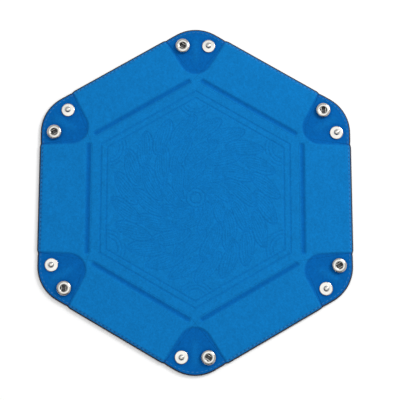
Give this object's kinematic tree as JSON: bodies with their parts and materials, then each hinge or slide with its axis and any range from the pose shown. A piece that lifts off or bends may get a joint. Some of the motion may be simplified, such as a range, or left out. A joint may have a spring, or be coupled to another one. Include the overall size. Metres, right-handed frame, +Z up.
{
  "type": "folding dice tray",
  "caption": "Flat hexagonal rolling tray of velvet over leather with stiff boards; its six walls fold up and snap together at the corners.",
  "frame": {"origin": "middle of the flat tray's underside, on the table", "axes": "+Z up through the rolling surface, +X out through the middle of wall 1, +Y out through a corner"},
  "size_m": [0.262, 0.2912, 0.0071],
  "materials": {
    "velvet": "short-pile blue velvet, pressed darker along the creases and in the corners",
    "leather": "fine-grained dark leatherette with a semi-matt sheen",
    "board": "plain grey binder's board",
    "nickel": "nickel-plated pressed metal, bright",
    "spring": "bright spring wire inside the sockets",
    "thread": "blue polyester sewing thread"
  },
  "bodies": {
    "floor": {"floor_board": "board", "floor_leather": "leather", "floor_velvet": "velvet"},
    "wall_1": {"wall_1_board": "board", "wall_1_leather": "leather", "wall_1_velvet": "velvet"},
    "wall_2": {"wall_2_board": "board", "wall_2_leather": "leather", "wall_2_velvet": "velvet"},
    "wall_3": {"wall_3_board": "board", "wall_3_leather": "leather", "wall_3_velvet": "velvet"},
    "wall_4": {"wall_4_board": "board", "wall_4_leather": "leather", "wall_4_velvet": "velvet"},
    "wall_5": {"wall_5_board": "board", "wall_5_leather": "leather", "wall_5_velvet": "velvet"},
    "wall_6": {"wall_6_board": "board", "wall_6_leather": "leather", "wall_6_velvet": "velvet"},
    "corner_1_stud_half": {"corner_1_stud_flap": "velvet", "corner_1_stud": "nickel", "corner_1_post": "nickel"},
    "corner_1_socket_half": {"corner_1_socket_flap": "velvet", "corner_1_socket": "nickel", "corner_1_cap": "nickel"},
    "corner_2_stud_half": {"corner_2_stud_flap": "velvet", "corner_2_stud": "nickel", "corner_2_post": "nickel"},
    "corner_2_socket_half": {"corner_2_socket_flap": "velvet", "corner_2_socket": "nickel", "corner_2_cap": "nickel"},
    "corner_3_stud_half": {"corner_3_stud_flap": "velvet", "corner_3_stud": "nickel", "corner_3_post": "nickel"},
    "corner_3_socket_half": {"corner_3_socket_flap": "velvet", "corner_3_socket": "nickel", "corner_3_cap": "nickel"},
    "corner_4_stud_half": {"corner_4_stud_flap": "velvet", "corner_4_stud": "nickel", "corner_4_post": "nickel"},
    "corner_4_socket_half": {"corner_4_socket_flap": "velvet", "corner_4_socket": "nickel", "corner_4_cap": "nickel"},
    "corner_5_stud_half": {"corner_5_stud_flap": "velvet", "corner_5_stud": "nickel", "corner_5_post": "nickel"},
    "corner_5_socket_half": {"corner_5_socket_flap": "velvet", "corner_5_socket": "nickel", "corner_5_cap": "nickel"},
    "corner_6_stud_half": {"corner_6_stud_flap": "velvet", "corner_6_stud": "nickel", "corner_6_post": "nickel"},
    "corner_6_socket_half": {"corner_6_socket_flap": "velvet", "corner_6_socket": "nickel", "corner_6_cap": "nickel"}
  },
  "joints": [
    {"name": "wall_1_fold", "type": "hinge", "parent": "floor", "child": "wall_1", "pos_m": [0.0895, 0, 0.00225], "axis": [0, -1, 0], "range_deg": [0, 85]},
    {"name": "wall_2_fold", "type": "hinge", "parent": "floor", "child": "wall_2", "pos_m": [0.04475, 0.07751, 0.00225], "axis": [0.866, -0.5, 0], "range_deg": [0, 85]},
    {"name": "wall_3_fold", "type": "hinge", "parent": "floor", "child": "wall_3", "pos_m": [-0.04475, 0.07751, 0.00225], "axis": [0.866, 0.5, 0], "range_deg": [0, 85]},
    {"name": "wall_4_fold", "type": "hinge", "parent": "floor", "child": "wall_4", "pos_m": [-0.0895, 0, 0.00225], "axis": [0, 1, 0], "range_deg": [0, 85]},
    {"name": "wall_5_fold", "type": "hinge", "parent": "floor", "child": "wall_5", "pos_m": [-0.04475, -0.07751, 0.00225], "axis": [-0.866, 0.5, 0], "range_deg": [0, 85]},
    {"name": "wall_6_fold", "type": "hinge", "parent": "floor", "child": "wall_6", "pos_m": [0.04475, -0.07751, 0.00225], "axis": [-0.866, -0.5, 0], "range_deg": [0, 85]},
    {"name": "corner_1_stud_fold", "type": "hinge", "parent": "wall_1", "child": "corner_1_stud_half", "pos_m": [0.1187, 0.04887, 0.00225], "axis": [-0.9987, -0.0503, 0], "range_deg": [0, 60.18]},
    {"name": "corner_1_socket_fold", "type": "hinge", "parent": "wall_2", "child": "corner_1_socket_half", "pos_m": [0.10168, 0.07836, 0.00225], "axis": [0.5429, 0.8398, 0], "range_deg": [0, 60.18]},
    {"name": "corner_2_stud_fold", "type": "hinge", "parent": "wall_2", "child": "corner_2_stud_half", "pos_m": [0.01702, 0.12723, 0.00225], "axis": [-0.4558, -0.8901, 0], "range_deg": [0, 60.18]},
    {"name": "corner_2_socket_fold", "type": "hinge", "parent": "wall_3", "child": "corner_2_socket_half", "pos_m": [-0.01702, 0.12723, 0.00225], "axis": [-0.4558, 0.8901, 0], "range_deg": [0, 60.18]},
    {"name": "corner_3_stud_fold", "type": "hinge", "parent": "wall_3", "child": "corner_3_stud_half", "pos_m": [-0.10168, 0.07836, 0.00225], "axis": [0.5429, -0.8398, 0], "range_deg": [0, 60.18]},
    {"name": "corner_3_socket_fold", "type": "hinge", "parent": "wall_4", "child": "corner_3_socket_half", "pos_m": [-0.1187, 0.04887, 0.00225], "axis": [-0.9987, 0.0503, 0], "range_deg": [0, 60.18]},
    {"name": "corner_4_stud_fold", "type": "hinge", "parent": "wall_4", "child": "corner_4_stud_half", "pos_m": [-0.1187, -0.04887, 0.00225], "axis": [0.9987, 0.0503, 0], "range_deg": [0, 60.18]},
    {"name": "corner_4_socket_fold", "type": "hinge", "parent": "wall_5", "child": "corner_4_socket_half", "pos_m": [-0.10168, -0.07836, 0.00225], "axis": [-0.5429, -0.8398, 0], "range_deg": [0, 60.18]},
    {"name": "corner_5_stud_fold", "type": "hinge", "parent": "wall_5", "child": "corner_5_stud_half", "pos_m": [-0.01702, -0.12723, 0.00225], "axis": [0.4558, 0.8901, 0], "range_deg": [0, 60.18]},
    {"name": "corner_5_socket_fold", "type": "hinge", "parent": "wall_6", "child": "corner_5_socket_half", "pos_m": [0.01702, -0.12723, 0.00225], "axis": [0.4558, -0.8901, 0], "range_deg": [0, 60.18]},
    {"name": "corner_6_stud_fold", "type": "hinge", "parent": "wall_6", "child": "corner_6_stud_half", "pos_m": [0.10168, -0.07836, 0.00225], "axis": [-0.5429, 0.8398, 0], "range_deg": [0, 60.18]},
    {"name": "corner_6_socket_fold", "type": "hinge", "parent": "wall_1", "child": "corner_6_socket_half", "pos_m": [0.1187, -0.04887, 0.00225], "axis": [0.9987, -0.0503, 0], "range_deg": [0, 60.18]}
  ],
  "couplings": [
    {"joint": "wall_2_fold", "follows": "wall_1_fold", "ratio": 1},
    {"joint": "wall_3_fold", "follows": "wall_1_fold", "ratio": 1},
    {"joint": "wall_4_fold", "follows": "wall_1_fold", "ratio": 1},
    {"joint": "wall_5_fold", "follows": "wall_1_fold", "ratio": 1},
    {"joint": "wall_6_fold", "follows": "wall_1_fold", "ratio": 1},
    {"joint": "corner_1_stud_fold", "follows": "wall_1_fold", "ratio": 0.70736},
    {"joint": "corner_1_socket_fold", "follows": "wall_1_fold", "ratio": 0.70736},
    {"joint": "corner_2_stud_fold", "follows": "wall_1_fold", "ratio": 0.70736},
    {"joint": "corner_2_socket_fold", "follows": "wall_1_fold", "ratio": 0.70736},
    {"joint": "corner_3_stud_fold", "follows": "wall_1_fold", "ratio": 0.70736},
    {"joint": "corner_3_socket_fold", "follows": "wall_1_fold", "ratio": 0.70736},
    {"joint": "corner_4_stud_fold", "follows": "wall_1_fold", "ratio": 0.70736},
    {"joint": "corner_4_socket_fold", "follows": "wall_1_fold", "ratio": 0.70736},
    {"joint": "corner_5_stud_fold", "follows": "wall_1_fold", "ratio": 0.70736},
    {"joint": "corner_5_socket_fold", "follows": "wall_1_fold", "ratio": 0.70736},
    {"joint": "corner_6_stud_fold", "follows": "wall_1_fold", "ratio": 0.70736},
    {"joint": "corner_6_socket_fold", "follows": "wall_1_fold", "ratio": 0.70736}
  ]
}
